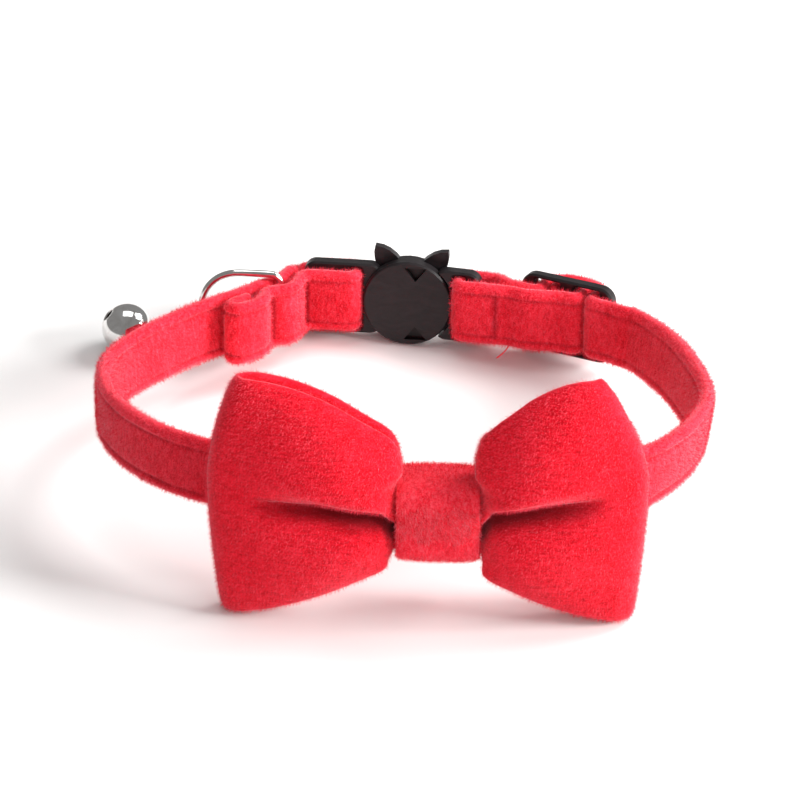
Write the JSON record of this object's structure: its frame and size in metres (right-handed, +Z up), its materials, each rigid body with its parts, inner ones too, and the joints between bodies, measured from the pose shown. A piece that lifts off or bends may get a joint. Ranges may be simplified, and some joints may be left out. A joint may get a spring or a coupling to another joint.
{
  "type": "pet bow tie collar",
  "caption": "Small velvet pet collar worn as a closed loop, with a plump bow tie on its front, a breakaway buckle, a slider and a bell on a D-ring.",
  "frame": {"origin": "middle of the collar's outline in plan, on the surface that it rests on", "axes": "+X to the right of someone who faces the bow, +Y from the bow to the buckle, +Z up"},
  "size_m": [0.1, 0.083, 0.0395],
  "materials": {
    "velvet": "short soft pile",
    "black_plastic": "semi-matte moulded",
    "nickel": "polished plating"
  },
  "bodies": {
    "root": {"strap": "velvet", "bow": "velvet", "knot": "velvet", "buckle_socket": "black_plastic", "buckle_plug": "black_plastic", "slider": "black_plastic", "d_ring": "nickel", "jump_ring": "nickel", "bell": "nickel", "bell_pellet": "nickel"}
  },
  "joints": []
}
